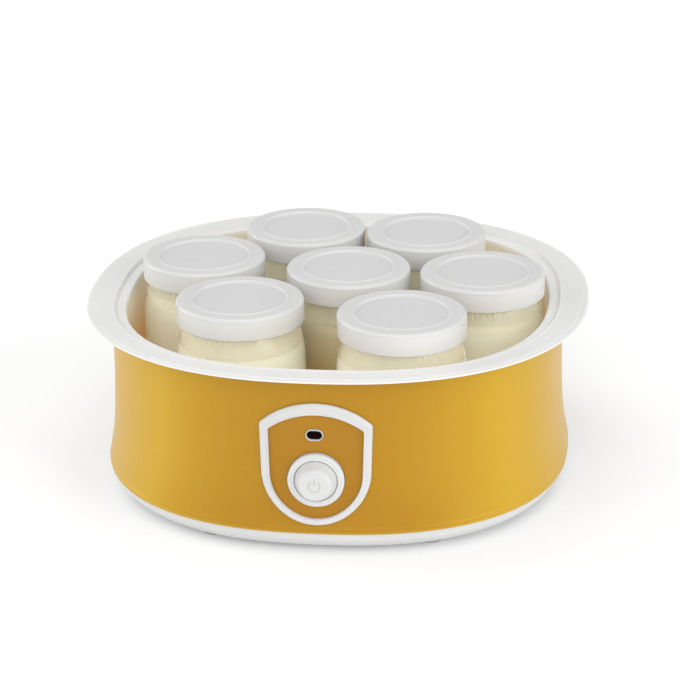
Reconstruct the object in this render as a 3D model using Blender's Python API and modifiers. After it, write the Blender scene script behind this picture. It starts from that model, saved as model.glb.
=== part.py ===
"""Seven-jar yogurt maker: a shell-shaped warmer with a wide tub, filled glass jars with snap lids,
a push button with its switch, an under-floor heater and a folded mains cord.

Metres, +Z up. The control side faces -Y and the table is z = 0. Everything is laid out around the
middle of the body, then moved by SHIFT_Y so that the world origin is under the middle of the whole object.
"""

import math

import bmesh
import bpy
from mathutils import Matrix

SHIFT_Y = -0.0351

# The body's outlines are superellipses: half width, half depth, exponent.
BODY_SEGMENTS = 56
BODY_EXPONENT = 2.38
BODY_DEPTH_RATIO = 0.974
TUB_EXPONENT = 2.5
TUB_DEPTH_RATIO = 0.978
FLANGE_EXPONENT = 2.28
FLANGE_DEPTH_RATIO = 0.980

# The casing's outer side from its top edge down: half width, height.
CASING_OUTSIDE = (
    (0.1098, 0.0886),
    (0.1104, 0.0700),
    (0.1111, 0.0500),
    (0.1117, 0.0370),
    (0.1128, 0.0250),
    (0.1143, 0.0188),
    (0.1151, 0.0143),
    (0.1149, 0.0121),
)
CASING_WALL = 0.0020

FLANGE_TOP = 0.0920
SEAT_DROP = 0.0017
FLANGE_HALF = 0.1231
STEP_HALF = 0.1096
TUB_OPENING_HALF = 0.1034
TUB_FLOOR = 0.0250
TUB_WALL = 0.0020
BOSS_SPOTS = ((0.072, 0.058), (-0.072, 0.058), (-0.072, -0.058), (0.072, -0.058))
BOSS_BOTTOM = 0.0062
BASE_BOTTOM = 0.0029
BASE_FLOOR = 0.0052
FOOT_SPOTS = ((0.0515, 0.0870), (-0.0515, 0.0870), (-0.0515, -0.0870), (0.0515, -0.0870))

# A niche in the tub's front wall, between two jars, leaves room for the switch.
NICHE_HALF = 0.0125
NICHE_BACK = -0.0880
NICHE_TOP = 0.0700
POCKET_HALF = 0.0105
POCKET_BACK = -0.0900
POCKET_FLOOR = 0.0260
POCKET_TOP = 0.0680

# Shield outlines on the front: half width at the upper corners and at the round bottom, height of the top,
# radius of the top arch, height of the centre of the round bottom.
BEZEL_OUTER = (0.02620, 0.02555, 0.0766, 0.0374, 0.0427)
BEZEL_INNER = (0.02170, 0.02110, 0.0707, 0.0354, 0.0416)
OPENING = (0.02400, 0.02340, 0.0736, 0.0366, 0.0422)
PANEL = (0.02370, 0.02310, 0.0733, 0.0363, 0.0422)

BUTTON_HEIGHT = 0.0384
INDICATOR_HEIGHT = 0.0604
POST_SPOTS = ((-0.0076, 0.0545), (0.0076, 0.0545))

JAR_SEGMENTS = 20
CONTROL_SEGMENTS = 24
JAR_BOTTOM = 0.0253
JAR_SPOTS = (
    (-0.0230, 0.0575),
    (0.0395, 0.0540),
    (-0.0687, 0.0095),
    (0.0050, -0.0020),
    (0.0710, -0.0040),
    (-0.0422, -0.0500),
    (0.0360, -0.0630),
)
# Radius and height above the jar's bottom: up the inside, then down the outside.
JAR_INSIDE = (
    (0.0000, 0.0040),
    (0.0264, 0.0044),
    (0.0282, 0.0082),
    (0.0282, 0.0470),
    (0.0275, 0.0560),
    (0.0252, 0.0680),
    (0.0252, 0.0780),
)
JAR_OUTSIDE = (
    (0.0276, 0.0780),
    (0.0284, 0.0770),
    (0.0284, 0.0734),
    (0.0274, 0.0700),
    (0.0290, 0.0650),
    (0.0301, 0.0580),
    (0.0305, 0.0480),
    (0.0305, 0.0060),
    (0.0265, 0.0000),
    (0.0000, 0.0000),
)
YOGURT_PROFILE = (
    (0.0000, 0.0568),
    (0.0270, 0.0568),
    (0.0278, 0.0468),
    (0.0278, 0.0086),
    (0.0260, 0.0049),
    (0.0000, 0.0045),
)
# Heights above the lid's lower edge, which is LID_BOTTOM above the table.
LID_BOTTOM = 0.0941
LID_PROFILE = (
    (0.0000, 0.0100),
    (0.0220, 0.0100),
    (0.0231, 0.0109),
    (0.0288, 0.0110),
    (0.0303, 0.0098),
    (0.0305, 0.0000),
    (0.0290, 0.0000),
    (0.0290, 0.0095),
    (0.0236, 0.0095),
    (0.0226, 0.0086),
    (0.0000, 0.0086),
)

CORD_RADIUS = 0.0030
CORD_HEIGHT = 0.0195
CORD_ON_TABLE = 0.0032
CORD_ROWS = (0.149, 0.161, 0.178)
CORD_REACH = 0.070
PLUG_HEIGHT = 0.0080

WHITE = (0.86, 0.86, 0.85)
YELLOW = (0.72, 0.42, 0.06)


def clear_scene():
    for old in list(bpy.data.objects):
        bpy.data.objects.remove(old)
    for old in list(bpy.data.collections):
        bpy.data.collections.remove(old)


def new_collection(name):
    collection = bpy.data.collections.new(name)
    bpy.context.scene.collection.children.link(collection)
    return collection


clear_scene()
PARTS = new_collection("yogurt_maker")
CUTTERS = new_collection("cutters")
CUTTERS.hide_render = True


def paint(obj, colour, roughness=0.4, metallic=0.0, alpha=1.0):
    material = bpy.data.materials.new(obj.name)
    material.use_nodes = True
    shader = material.node_tree.nodes["Principled BSDF"]
    shader.inputs["Base Color"].default_value = (*colour, 1.0)
    shader.inputs["Roughness"].default_value = roughness
    shader.inputs["Metallic"].default_value = metallic
    shader.inputs["Alpha"].default_value = alpha
    obj.data.materials.append(material)


def add_object(name, data, location=(0, 0, 0), cutter=False):
    obj = bpy.data.objects.new(name, data)
    obj.location = location
    if cutter:
        CUTTERS.objects.link(obj)
        obj.display_type = "WIRE"
    else:
        PARTS.objects.link(obj)
    return obj


def mesh_object(name, build, location=(0, 0, 0), cutter=False, smooth=True):
    """build(bm) fills the mesh in local coordinates."""
    bm = bmesh.new()
    build(bm)
    bmesh.ops.recalc_face_normals(bm, faces=bm.faces)
    mesh = bpy.data.meshes.new(name)
    bm.to_mesh(mesh)
    bm.free()
    if smooth:
        mesh.shade_smooth()
        mesh.set_sharp_from_angle(angle=math.radians(35))
    return add_object(name, mesh, location, cutter)


def oval_ring(bm, half_x, half_y, exponent, height, count):
    points = []
    for step in range(count):
        angle = 2 * math.pi * step / count
        across, along = math.cos(angle), math.sin(angle)
        reach = (abs(across / half_x) ** exponent + abs(along / half_y) ** exponent) ** (-1 / exponent)
        points.append(bm.verts.new((reach * across, reach * along, height)))
    return points


def bridge(bm, first, second):
    count = len(first)
    for step in range(count):
        after = (step + 1) % count
        bm.faces.new((first[step], first[after], second[after], second[step]))


def oval_loft(name, rings, hollow):
    """Joins oval rings. A hollow loft joins its last ring to its first; otherwise both ends are capped."""

    def build(bm):
        loops = [oval_ring(bm, *ring, BODY_SEGMENTS) for ring in rings]
        for first, second in zip(loops, loops[1:]):
            bridge(bm, first, second)
        if hollow:
            bridge(bm, loops[-1], loops[0])
        else:
            bm.faces.new(loops[0])
            bm.faces.new(loops[-1])

    return mesh_object(name, build)


def turned(name, profile, location, steps=CONTROL_SEGMENTS, closed=False, forward=False, cutter=False):
    """A Screw around the local Z. profile runs down the outer side; forward points the local Z at -Y."""
    mesh = bpy.data.meshes.new(name)
    edges = [(i, i + 1) for i in range(len(profile) - 1)]
    if closed:
        edges.append((len(profile) - 1, 0))
    mesh.from_pydata([(radius, 0, height) for radius, height in profile], edges, [])
    obj = add_object(name, mesh, location, cutter)
    if forward:
        obj.rotation_euler.x = math.pi / 2
    screw = obj.modifiers.new("turn", "SCREW")
    screw.steps = steps
    screw.render_steps = steps
    screw.use_merge_vertices = True
    screw.merge_threshold = 1e-5
    screw.use_smooth_shade = True
    return obj


def box(name, low, high, cutter=False, bevel=0.0):
    size = [top - bottom for bottom, top in zip(low, high)]
    middle = [(top + bottom) / 2 for bottom, top in zip(low, high)]

    def build(bm):
        bmesh.ops.create_cube(bm, size=1.0, matrix=Matrix.Diagonal((*size, 1.0)))

    obj = mesh_object(name, build, middle, cutter)
    if bevel:
        rounding = obj.modifiers.new("round", "BEVEL")
        rounding.width = bevel
        rounding.segments = 1
    return obj


def rods(name, radius, ends, steps=12, cutter=False):
    """Straight round rods in one mesh, each from a start point to an end point along one axis."""

    def build(bm):
        for start, end in ends:
            length = [after - before for before, after in zip(start, end)]
            middle = [(after + before) / 2 for before, after in zip(start, end)]
            turn = Matrix.Identity(4)
            if abs(length[0]) > 0:
                turn = Matrix.Rotation(math.pi / 2, 4, "Y")
            if abs(length[1]) > 0:
                turn = Matrix.Rotation(math.pi / 2, 4, "X")
            bmesh.ops.create_cone(
                bm,
                cap_ends=True,
                segments=steps,
                radius1=radius,
                radius2=radius,
                depth=sum(abs(part) for part in length),
                matrix=Matrix.Translation(middle) @ turn,
            )

    return mesh_object(name, build, cutter=cutter)


def boolean(target, other, operation="DIFFERENCE"):
    change = target.modifiers.new(other.name, "BOOLEAN")
    change.object = other
    change.operation = operation
    change.solver = "EXACT"


def wire(name, points, radius, closed=False):
    curve = bpy.data.curves.new(name, "CURVE")
    curve.dimensions = "3D"
    curve.bevel_depth = radius
    curve.bevel_resolution = 2
    curve.use_fill_caps = not closed
    spline = curve.splines.new("POLY")
    spline.points.add(len(points) - 1)
    for point, place in zip(spline.points, points):
        point.co = (*place, 1.0)
    spline.use_cyclic_u = closed
    spline.use_smooth = True
    return add_object(name, curve)


def casing_half(height):
    """The casing's outer half width at a height."""
    for (upper_half, upper), (lower_half, lower) in zip(CASING_OUTSIDE, CASING_OUTSIDE[1:]):
        if height >= lower:
            share = (height - lower) / (upper - lower)
            return lower_half + share * (upper_half - lower_half)
    return CASING_OUTSIDE[-1][0]


def front_y(across, height, proud):
    """The casing's front surface at a place, moved out by proud."""
    half_x = casing_half(height) + proud
    half_y = casing_half(height) * BODY_DEPTH_RATIO + proud
    return -half_y * (1 - abs(across / half_x) ** BODY_EXPONENT) ** (1 / BODY_EXPONENT)


def shield_outline(corner_half, waist_half, top, arch, round_centre):
    """Points across and up around a shield: arch from left to right, right side, round bottom, left side."""
    arch_centre = top - arch
    corner = math.asin(corner_half / arch)
    points = []
    for step in range(9):
        angle = -corner + 2 * corner * step / 8
        points.append((arch * math.sin(angle), arch_centre + arch * math.cos(angle)))
    side_top = points[-1][1]
    sides = []
    for share in (1 / 3, 2 / 3):
        across = corner_half + (waist_half - corner_half) * share
        sides.append((across, side_top + (round_centre - side_top) * share))
    points += sides
    for step in range(17):
        angle = math.pi * step / 16
        points.append((waist_half * math.cos(angle), round_centre - waist_half * math.sin(angle)))
    points += [(-across, height) for across, height in reversed(sides)]
    return points


def shield_half_width(height, corner_half, waist_half, top, arch, round_centre):
    arch_centre = top - arch
    if height < round_centre:
        return math.sqrt(max(waist_half**2 - (round_centre - height) ** 2, 0.0))
    side_top = arch_centre + math.sqrt(arch**2 - corner_half**2)
    if height > side_top:
        return math.sqrt(max(arch**2 - (height - arch_centre) ** 2, 0.0))
    return waist_half + (corner_half - waist_half) * (height - round_centre) / (side_top - round_centre)


def shield_plate(name, shape, front, back, cutter=False):
    """A shield that follows the casing's front, from the offset front to the offset back."""
    corner_half, waist_half, top, arch, round_centre = shape
    side_top = top - arch + math.sqrt(arch**2 - corner_half**2)
    heights = [round_centre - waist_half * math.cos(math.radians(angle)) for angle in (8, 22, 37, 53, 71, 90)]
    heights += [round_centre + (side_top - round_centre) * share for share in (0.35, 0.7, 1.0)]
    heights += [side_top + (top - side_top) * share for share in (0.4, 0.75, 0.97)]
    columns = 8

    def build(bm):
        faces = []
        for proud in (front, back):
            rows = []
            for height in heights:
                reach = shield_half_width(height, *shape)
                spots = [reach * (2 * step / columns - 1) for step in range(columns + 1)]
                rows.append([bm.verts.new((x, front_y(x, height, proud), height)) for x in spots])
            for lower, upper in zip(rows, rows[1:]):
                for step in range(columns):
                    bm.faces.new((lower[step], lower[step + 1], upper[step + 1], upper[step]))
            rim = rows[0] + [row[-1] for row in rows[1:]] + rows[-1][-2::-1]
            rim += [row[0] for row in rows[-2:0:-1]]
            faces.append(rim)
        bridge(bm, faces[0], faces[1])

    return mesh_object(name, build, cutter=cutter)


def stadium(name, half_length, radius, low_y, high_y, height, cutter=False, hole=None):
    """An oblong prism along Y. hole is the half length and radius of an oblong through it."""

    def outline(half, rounding):
        spots = []
        for side in (1, -1):
            for step in range(7):
                angle = math.pi * step / 6 - math.pi / 2
                across = half - rounding + rounding * math.cos(angle)
                spots.append((side * across, side * rounding * math.sin(angle)))
        return spots

    def build(bm):
        shapes = [outline(half_length, radius)]
        if hole:
            shapes.append(outline(*hole))
        loops = []
        for spots in shapes:
            for y in (low_y, high_y):
                loops.append([bm.verts.new((x, y, height + z)) for x, z in spots])
        if hole:
            for first, second in ((0, 1), (1, 3), (3, 2), (2, 0)):
                bridge(bm, loops[first], loops[second])
        else:
            bridge(bm, loops[0], loops[1])
            bm.faces.new(loops[0])
            bm.faces.new(loops[1])

    return mesh_object(name, build, cutter=cutter)


def add_casing():
    depth = BODY_DEPTH_RATIO
    outside = [(half, half * depth, BODY_EXPONENT, z) for half, z in CASING_OUTSIDE]
    inside = []
    for half, z in (CASING_OUTSIDE[-1], CASING_OUTSIDE[-3], CASING_OUTSIDE[3], CASING_OUTSIDE[0]):
        inside.append((half - CASING_WALL, half * depth - CASING_WALL, BODY_EXPONENT, z))
    casing = oval_loft("outer_casing", outside + inside, hollow=True)
    boolean(casing, shield_plate("casing_opening", OPENING, 0.004, -0.006, cutter=True))
    cord_line = [((0, 0.100, CORD_HEIGHT), (0, 0.118, CORD_HEIGHT))]
    boolean(casing, rods("cord_hole", 0.0049, cord_line, 16, cutter=True))
    paint(casing, YELLOW, 0.35)


def add_tub():
    def tub(half, z):
        return (half, half * TUB_DEPTH_RATIO, TUB_EXPONENT, z)

    def flange(half, z):
        share = (half - TUB_OPENING_HALF) / (FLANGE_HALF - TUB_OPENING_HALF)
        ratio = TUB_DEPTH_RATIO + share * (FLANGE_DEPTH_RATIO - TUB_DEPTH_RATIO)
        exponent = TUB_EXPONENT + share * (FLANGE_EXPONENT - TUB_EXPONENT)
        return (half, half * ratio, exponent, z)

    top = FLANGE_TOP
    seat = top - SEAT_DROP
    rings = [
        tub(0.0990, TUB_FLOOR),
        tub(0.1022, TUB_FLOOR + 0.0050),
        tub(0.1030, 0.0870),
        tub(0.1031, seat - 0.0008),
        tub(TUB_OPENING_HALF + 0.0004, seat),
        flange(0.1074, seat),
        flange(STEP_HALF - 0.0008, top),
        flange(STEP_HALF + 0.0004, top + 0.0002),
        flange(FLANGE_HALF - 0.0008, top - 0.0001),
        flange(FLANGE_HALF, top - 0.0006),
        flange(FLANGE_HALF - 0.0006, top - 0.0012),
        flange(0.1110, top - 0.0018),
        flange(0.1058, top - 0.0032),
        tub(TUB_OPENING_HALF + 0.0018, top - 0.0052),
        tub(0.1030 + TUB_WALL, 0.0850),
        tub(0.1022 + TUB_WALL, TUB_FLOOR + 0.0050),
        tub(0.0990 + TUB_WALL, TUB_FLOOR - 0.0008),
        tub(0.0960, TUB_FLOOR - TUB_WALL),
    ]
    obj = oval_loft("inner_tub", rings, hollow=False)
    niche_low = (-NICHE_HALF, -0.1022, 0.0240)
    boolean(obj, box("niche_block", niche_low, (NICHE_HALF, NICHE_BACK, NICHE_TOP), cutter=True), "UNION")
    pocket_low = (-POCKET_HALF, -0.1060, POCKET_FLOOR)
    boolean(obj, box("niche_pocket", pocket_low, (POCKET_HALF, POCKET_BACK, POCKET_TOP), cutter=True))
    bosses = [((x, y, BOSS_BOTTOM), (x, y, TUB_FLOOR - 0.0010)) for x, y in BOSS_SPOTS]
    boolean(obj, rods("bosses", 0.0042, bosses, cutter=True), "UNION")
    pilots = [((x, y, 0.0040), (x, y, 0.0180)) for x, y in BOSS_SPOTS]
    boolean(obj, rods("pilots", 0.0018, pilots, 8, cutter=True))
    paint(obj, WHITE, 0.3)


def add_base():
    def ring(half, z):
        return (half, half * BODY_DEPTH_RATIO, BODY_EXPONENT, z)

    rings = [
        ring(0.1062, BASE_BOTTOM),
        ring(0.1080, BASE_BOTTOM + 0.0005),
        ring(0.1108, BASE_BOTTOM + 0.0035),
        ring(0.1136, 0.0116),
        ring(0.1123, 0.0118),
        ring(0.1123, 0.0142),
        ring(0.1106, 0.0142),
        ring(0.1062, BASE_FLOOR),
    ]
    base = oval_loft("base_cover", rings, hollow=False)

    def build_slots(bm):
        for row in (-1, 1):
            for step in range(5):
                size = Matrix.Diagonal((0.005, 0.026, 0.010, 1.0))
                middle = Matrix.Translation((0.014 * (step - 2), row * 0.026, 0.004))
                bmesh.ops.create_cube(bm, size=1.0, matrix=middle @ size)

    boolean(base, mesh_object("vent_slots", build_slots, cutter=True))
    holes = [((x, y, 0.0010), (x, y, 0.0060)) for x, y in BOSS_SPOTS]
    boolean(base, rods("screw_holes", 0.0020, holes, 8, cutter=True))
    paint(base, WHITE, 0.35)
    for number, (x, y) in enumerate(FOOT_SPOTS, 1):
        profile = ((0.0, 0.0026), (0.0062, 0.0026), (0.0065, 0.0019), (0.0060, 0.0), (0.0, 0.0))
        foot = turned(f"foot_{number}", profile, (x, y, 0.0), steps=16)
        paint(foot, (0.55, 0.55, 0.53), 0.8)
    for number, (x, y) in enumerate(BOSS_SPOTS, 1):
        profile = ((0.0, 0.0135), (0.0014, 0.0125), (0.0014, 0.0019), (0.0034, 0.0019), (0.0030, 0.0))
        profile += ((0.0, 0.0),)
        screw = turned(f"base_screw_{number}", profile, (x, y, 0.0009), steps=10)
        paint(screw, (0.6, 0.6, 0.6), 0.3, 1.0)


def add_controls():
    def build_bezel(bm):
        loops = []
        outer = shield_outline(*BEZEL_OUTER)
        inner = shield_outline(*BEZEL_INNER)
        for share, proud in ((0.0, 0.0003), (0.0, 0.0015), (0.2, 0.0021), (1.0, 0.0016), (1.0, 0.0003)):
            loop = []
            for (out_x, out_z), (in_x, in_z) in zip(outer, inner):
                x = out_x + share * (in_x - out_x)
                z = out_z + share * (in_z - out_z)
                loop.append(bm.verts.new((x, front_y(x, z, proud), z)))
            loops.append(loop)
        for first, second in zip(loops, loops[1:] + loops[:1]):
            bridge(bm, first, second)

    paint(mesh_object("control_bezel", build_bezel), WHITE, 0.3)

    panel = shield_plate("control_panel", PANEL, -0.0001, -0.0021)
    collar_line = [((0, -0.100, BUTTON_HEIGHT), (0, -0.116, BUTTON_HEIGHT))]
    boolean(panel, rods("collar_hole", 0.01355, collar_line, 24, cutter=True))
    boolean(panel, stadium("indicator_hole", 0.0045, 0.0031, -0.116, -0.100, INDICATOR_HEIGHT, cutter=True))
    posts = [((x, -0.1068, z), (x, -0.0995, z)) for x, z in POST_SPOTS]
    boolean(panel, rods("panel_posts", 0.0017, posts, 8, cutter=True), "UNION")
    paint(panel, YELLOW, 0.35)

    window = (0.0036, 0.0022)
    bezel = stadium("indicator_bezel", 0.0042, 0.0028, -0.1086, -0.1061, INDICATOR_HEIGHT, hole=window)
    paint(bezel, (0.7, 0.7, 0.7), 0.3)
    lens = stadium("indicator_lens", 0.0033, 0.0019, -0.1082, -0.1063, INDICATOR_HEIGHT)
    paint(lens, (0.08, 0.01, 0.01), 0.15)
    lamp_profile = ((0.0, 0.0062), (0.0012, 0.0058), (0.0018, 0.0045), (0.0018, 0.0), (0.0, 0.0))
    lamp = turned("indicator_lamp", lamp_profile, (0, -0.0996, INDICATOR_HEIGHT), steps=12, forward=True)
    paint(lamp, (0.75, 0.2, 0.15), 0.3)

    collar_profile = (
        (0.0112, 0.0056),
        (0.0124, 0.0056),
        (0.0130, 0.0052),
        (0.0132, 0.0043),
        (0.0132, 0.0000),
        (0.0103, 0.0000),
        (0.0103, 0.0051),
    )
    collar = turned("button_collar", collar_profile, (0, -0.1054, BUTTON_HEIGHT), closed=True, forward=True)
    paint(collar, WHITE, 0.3)
    button_profile = (
        (0.0000, 0.0114),
        (0.0058, 0.0113),
        (0.0071, 0.0107),
        (0.0084, 0.0088),
        (0.0094, 0.0064),
        (0.0099, 0.0042),
        (0.0099, 0.0000),
        (0.0026, 0.0000),
        (0.0026, -0.0080),
        (0.0000, -0.0080),
    )
    button = turned("power_button", button_profile, (0, -0.1051, BUTTON_HEIGHT), forward=True)
    paint(button, WHITE, 0.3)

    turns, per_turn = 3, 10
    coil = []
    for step in range(turns * per_turn + 1):
        angle = 2 * math.pi * step / per_turn
        y = -0.1001 - 0.0043 * step / (turns * per_turn)
        coil.append((0.0042 * math.cos(angle), y, BUTTON_HEIGHT + 0.0042 * math.sin(angle)))
    paint(wire("button_spring", coil, 0.0004), (0.7, 0.7, 0.7), 0.3, 1.0)

    board = box("control_board", (-0.0096, -0.0992, 0.0275), (0.0096, -0.0978, 0.0660))
    stem_line = [((0, -0.102, BUTTON_HEIGHT), (0, -0.0935, BUTTON_HEIGHT))]
    stem_hole = rods("stem_hole", 0.0032, stem_line, 12, cutter=True)
    boolean(board, stem_hole)
    paint(board, (0.05, 0.22, 0.08), 0.5)
    switch = box("switch_body", (-0.0075, -0.0975, 0.0300), (0.0075, -0.0906, 0.0460), bevel=0.0006)
    boolean(switch, stem_hole)
    paint(switch, (0.03, 0.03, 0.03), 0.5)


def add_heater():
    top = TUB_FLOOR - TUB_WALL - 0.0003
    plate_profile = ((0.0, top), (0.0660, top), (0.0660, top - 0.0015), (0.0, top - 0.0015))
    plate = turned("heating_plate", plate_profile, (0, 0, 0), steps=32)
    paint(plate, (0.75, 0.76, 0.77), 0.3, 1.0)

    angles = [math.pi * step / 12 for step in range(1, 24)]
    ring = [(0.048 * math.cos(angle), 0.048 * math.sin(angle), 0.0179) for angle in angles]
    paint(wire("heater_element", ring, 0.0028), (0.35, 0.33, 0.32), 0.4, 1.0)

    can = ((0.0, 0.0209), (0.0080, 0.0209), (0.0080, 0.0140), (0.0066, 0.0120), (0.0, 0.0120))
    thermostat = turned("thermostat", can, (0, 0, 0), steps=16)
    paint(thermostat, (0.1, 0.09, 0.08), 0.5)
    fuse = rods("thermal_fuse", 0.0020, [((-0.007, -0.024, 0.0186), (0.007, -0.024, 0.0186))], 10)
    paint(fuse, (0.75, 0.72, 0.6), 0.3, 0.6)
    block_low = (-0.0120, 0.0660, BASE_FLOOR + 0.0003)
    block = box("terminal_block", block_low, (0.0120, 0.0800, 0.0170), bevel=0.0008)
    paint(block, (0.8, 0.78, 0.7), 0.5)

    live = [(0.0060, 0.0655, 0.0120), (0.0060, 0.0600, 0.0120), (0.0140, 0.0530, 0.0100)]
    live += [(0.0300, 0.0300, 0.0090), (0.0400, 0.0080, 0.0095), (0.0440, -0.0060, 0.0110)]
    live += [(0.0466, -0.0060, 0.0130), (0.0478, -0.0060, 0.0146)]
    paint(wire("lead_live", live, 0.0011), (0.35, 0.12, 0.05), 0.5)
    neutral = [(-0.0060, 0.0655, 0.0120), (-0.0060, 0.0580, 0.0120), (-0.0050, 0.0400, 0.0105)]
    neutral += [(-0.0040, 0.0200, 0.0095), (-0.0030, 0.0100, 0.0095), (-0.0020, 0.0030, 0.0096)]
    neutral += [(-0.0020, 0.0015, 0.0100), (-0.0020, 0.0015, 0.0117)]
    paint(wire("lead_neutral", neutral, 0.0011), (0.1, 0.2, 0.55), 0.5)


def add_cord():
    relief_profile = (
        (0.0040, 0.0150),
        (0.0043, 0.0000),
        (0.0062, -0.0003),
        (0.0062, -0.0018),
        (0.0046, -0.0020),
        (0.0046, -0.0085),
        (0.0034, -0.0085),
        (0.0034, 0.0150),
    )
    relief = turned("strain_relief", relief_profile, (0, 0.1143, CORD_HEIGHT), steps=16, closed=True)
    relief.rotation_euler.x = -math.pi / 2
    paint(relief, (0.82, 0.82, 0.81), 0.5)

    path = [(0, 0.0806, 0.0120), (0, 0.0860, 0.0130), (0, 0.0930, 0.0175)]
    path += [(0, 0.1000, CORD_HEIGHT), (0, 0.1290, CORD_HEIGHT)]
    path += [(0, 0.1330, 0.0180), (0, 0.1370, 0.0130), (0, 0.1395, 0.0070), (0.0020, 0.1430, 0.0040)]
    path += [(0.0070, 0.1480, CORD_ON_TABLE), (0.0140, CORD_ROWS[0], CORD_ON_TABLE)]
    side = 1
    for near, far in zip(CORD_ROWS, CORD_ROWS[1:]):
        middle, radius = (near + far) / 2, (far - near) / 2
        for step in range(7):
            angle = math.pi * step / 6
            across = side * (CORD_REACH + radius * math.sin(angle))
            path.append((across, middle - radius * math.cos(angle), CORD_ON_TABLE))
        side = -side
    last_rise = ((-0.020, CORD_ON_TABLE), (-0.008, 0.0052), (0.003, PLUG_HEIGHT), (0.0095, PLUG_HEIGHT))
    path += [(x, CORD_ROWS[-1], z) for x, z in last_rise]
    paint(wire("power_cord", path, CORD_RADIUS), (0.84, 0.84, 0.83), 0.5)

    def build_plug(bm):
        sections = ((0.0100, 0.0042, 0.0042), (0.0180, 0.0052, 0.0050), (0.0300, 0.0110, 0.0066))
        sections += ((0.0480, 0.0128, 0.0072), (0.0500, 0.0120, 0.0064))
        loops = []
        for x, half_y, half_z in sections:
            loop = []
            for step in range(16):
                angle = 2 * math.pi * step / 16
                across, up = math.cos(angle), math.sin(angle)
                reach = (abs(across / half_y) ** 3 + abs(up / half_z) ** 3) ** (-1 / 3)
                loop.append(bm.verts.new((x, CORD_ROWS[-1] + reach * across, PLUG_HEIGHT + reach * up)))
            loops.append(loop)
        for first, second in zip(loops, loops[1:]):
            bridge(bm, first, second)
        bm.faces.new(loops[0])
        bm.faces.new(loops[-1])

    paint(mesh_object("plug_body", build_plug), (0.84, 0.84, 0.83), 0.5)
    for number, side in enumerate((-1, 1), 1):
        y = CORD_ROWS[-1] + side * 0.0090
        pin = rods(f"plug_pin_{number}", 0.0020, [((0.0503, y, PLUG_HEIGHT), (0.0690, y, PLUG_HEIGHT))], 10)
        paint(pin, (0.8, 0.78, 0.7), 0.25, 1.0)


def add_copies(name, profile, height, colour, roughness, alpha=1.0):
    first = None
    for number, (x, y) in enumerate(JAR_SPOTS, 1):
        obj = turned(f"{name}_{number}", profile, (x, y, height), JAR_SEGMENTS)
        if first is None:
            first = obj
            paint(obj, colour, roughness, alpha=alpha)
        else:
            spare = obj.data
            obj.data = first.data
            bpy.data.meshes.remove(spare)


def add_jars():
    add_copies("jar", JAR_INSIDE + JAR_OUTSIDE, JAR_BOTTOM, (0.85, 0.88, 0.84), 0.05, alpha=0.35)
    add_copies("yogurt", YOGURT_PROFILE, JAR_BOTTOM, (0.88, 0.86, 0.76), 0.5)
    add_copies("lid", LID_PROFILE, LID_BOTTOM, (0.84, 0.84, 0.84), 0.35)


add_casing()
add_tub()
add_base()
add_controls()
add_heater()
add_cord()
add_jars()
for obj in bpy.data.objects:
    obj.location.y += SHIFT_Y
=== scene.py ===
"""Looks of the seven-jar yogurt maker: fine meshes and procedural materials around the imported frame."""

import math

import bmesh
import bpy
from mathutils import Matrix, Vector


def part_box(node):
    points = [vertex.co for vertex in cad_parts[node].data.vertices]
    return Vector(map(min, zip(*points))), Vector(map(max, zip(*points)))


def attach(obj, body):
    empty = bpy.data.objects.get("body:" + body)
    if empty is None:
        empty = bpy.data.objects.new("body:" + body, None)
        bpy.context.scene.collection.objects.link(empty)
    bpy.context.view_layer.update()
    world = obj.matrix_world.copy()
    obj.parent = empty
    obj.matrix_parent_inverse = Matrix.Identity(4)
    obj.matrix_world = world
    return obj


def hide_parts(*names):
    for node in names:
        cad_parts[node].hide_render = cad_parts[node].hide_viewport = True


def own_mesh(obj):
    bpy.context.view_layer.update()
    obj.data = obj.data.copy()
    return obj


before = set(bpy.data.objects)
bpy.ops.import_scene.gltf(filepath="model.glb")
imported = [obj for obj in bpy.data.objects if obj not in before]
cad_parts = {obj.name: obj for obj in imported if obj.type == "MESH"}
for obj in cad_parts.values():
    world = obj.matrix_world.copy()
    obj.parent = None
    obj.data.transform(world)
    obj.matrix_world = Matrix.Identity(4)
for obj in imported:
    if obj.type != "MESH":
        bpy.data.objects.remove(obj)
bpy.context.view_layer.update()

# -------- sizes, in metres unless a comment says otherwise
MM = 0.001
BODY_RESOLUTION = 224
BODY_EXPONENT = 2.38
BODY_DEPTH_RATIO = 0.974
TUB_EXPONENT = 2.5
TUB_DEPTH_RATIO = 0.978
FLANGE_EXPONENT = 2.28
FLANGE_DEPTH_RATIO = 0.980
# Half widths in millimetres. Between them the tub's oval goes over into the flange's.
TUB_OPENING_HALF = 103.4
FLANGE_HALF = 123.1

# Profiles are in millimetres: half width or radius, height, rounding of that corner.
CASING_OUTSIDE = (
    (111.1, 88.6, 0.0),
    (110.9, 80.0, 0.0),
    (110.75, 70.0, 0.0),
    (110.8, 60.0, 0.0),
    (111.1, 50.0, 0.0),
    (111.35, 44.0, 0.0),
    (111.65, 38.0, 0.0),
    (112.05, 32.5, 0.0),
    (112.5, 28.0, 0.0),
    (113.05, 24.0, 0.0),
    (113.6, 21.0, 0.0),
    (114.1, 18.4, 0.0),
    (114.6, 15.6, 0.5),
    (114.6, 15.1, 0.3),
    (114.85, 14.5, 0.5),
    (115.1, 13.2, 0.4),
    (114.95, 11.95, 0.4),
)
CASING_INSIDE = (
    (113.2, 11.95, 0.3),
    (113.0, 16.0, 0.0),
    (111.4, 24.0, 0.0),
    (109.6, 38.0, 0.0),
    (108.4, 70.0, 0.0),
    (107.8, 88.6, 0.2),
)
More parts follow.
